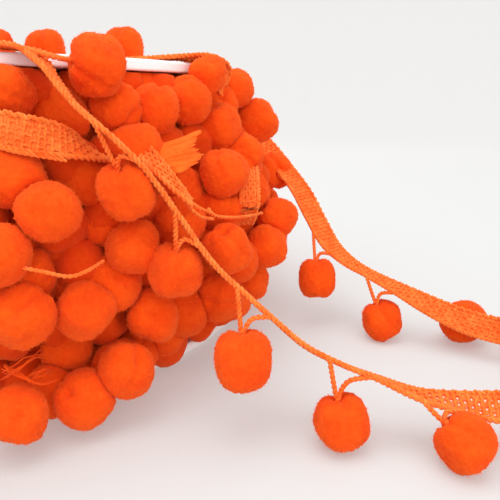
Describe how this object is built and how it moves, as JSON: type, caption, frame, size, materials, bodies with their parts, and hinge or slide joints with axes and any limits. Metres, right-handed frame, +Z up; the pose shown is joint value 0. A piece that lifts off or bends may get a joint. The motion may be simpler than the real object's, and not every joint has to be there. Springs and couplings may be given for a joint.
{
  "type": "pompom fringe trim on a reel",
  "caption": "Crochet braid trim with tied pompoms, wound on a flanged plastic reel, with a loose length trailing over the top flange and on to the floor",
  "frame": {"origin": "Middle of the overall box at its base, on the floor under the reel's lower flange", "axes": "+Z up along the reel's axis, +X towards the end of the loose length on the floor, +Y away from the side with the loose length on the rim"},
  "size_m": [0.4274, 0.3162, 0.136],
  "materials": {
    "reel": "white injection-moulded polystyrene, satin",
    "trim": "orange acrylic cut pile pompoms",
    "braid": "orange acrylic crochet braid and ties"
  },
  "bodies": {
    "root": {"bottom_flange": "reel", "hub": "reel", "top_flange": "reel", "wound_trim": "trim", "loose_length": "braid"}
  },
  "joints": []
}
